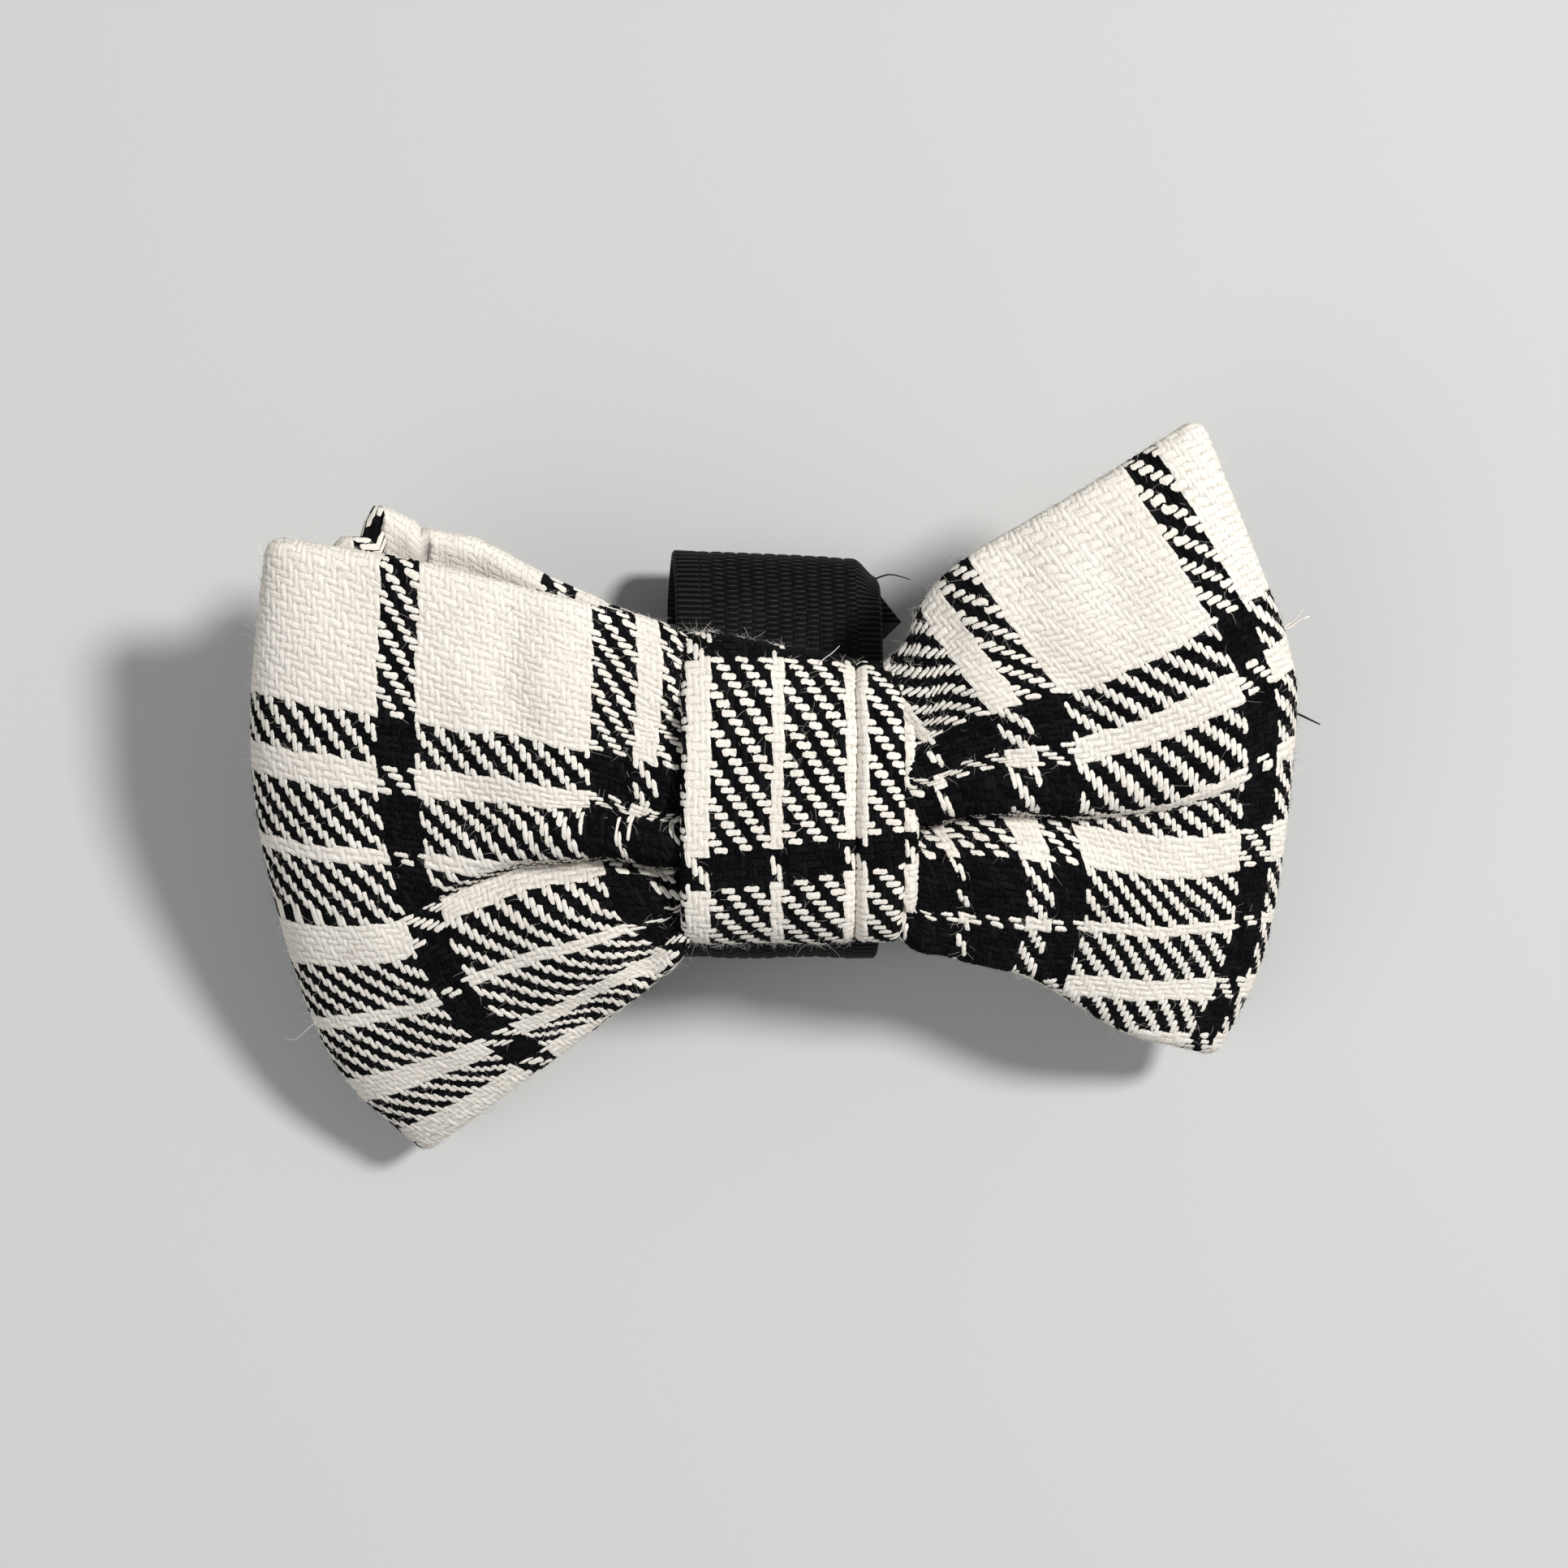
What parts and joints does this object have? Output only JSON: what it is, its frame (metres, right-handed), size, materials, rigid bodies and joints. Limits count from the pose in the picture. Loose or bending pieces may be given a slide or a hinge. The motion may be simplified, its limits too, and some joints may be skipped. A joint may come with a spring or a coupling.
{
  "type": "slip-on bow tie",
  "caption": "Small plaid cotton bow tie with soft folded wings, a wrapped knot and an elastic loop behind it that slides over a collar.",
  "frame": {"origin": "middle of the flat underside of the elastic loop, which the bow tie rests on", "axes": "+X along the bow, from the wearer's side of the left wing to the right wing, +Y towards the bow's upper edge, +Z out of the bow's front"},
  "size_m": [0.0979, 0.0661, 0.0287],
  "materials": {
    "plaid_twill": "brushed cotton twill, cream and black plaid",
    "interlining": "non-woven felt, matte",
    "woven_elastic": "black woven elastic, ribbed",
    "cream_thread": "spun sewing thread, matte",
    "black_thread": "spun sewing thread, matte"
  },
  "bodies": {
    "knot": {"bow_waist": "plaid_twill", "gathering_thread": "cream_thread", "knot_wrap": "plaid_twill", "knot_underlap": "plaid_twill", "knot_closing_stitches": "cream_thread"},
    "left_wing": {"left_wing_cover": "plaid_twill", "left_wing_interlining": "interlining"},
    "right_wing": {"right_wing_cover": "plaid_twill", "right_wing_interlining": "interlining"},
    "loop": {"elastic_loop": "woven_elastic", "elastic_lap_end": "woven_elastic", "elastic_bar_tack": "black_thread"}
  },
  "joints": [
    {"name": "left_wing_flex", "type": "hinge", "parent": "knot", "child": "left_wing", "pos_m": [-0.0093, 0, 0.0216], "axis": [0, 1, 0], "range_deg": [-14, 14], "stiffness_Nm_per_rad": 0.05},
    {"name": "right_wing_flex", "type": "hinge", "parent": "knot", "child": "right_wing", "pos_m": [0.0136, 0, 0.0216], "axis": [0, -1, 0], "range_deg": [-14, 14], "stiffness_Nm_per_rad": 0.05},
    {"name": "loop_swing", "type": "hinge", "parent": "knot", "child": "loop", "pos_m": [0, 0.0011, 0.0143], "axis": [1, 0, 0], "range_deg": [-12, 12], "stiffness_Nm_per_rad": 0.05}
  ]
}
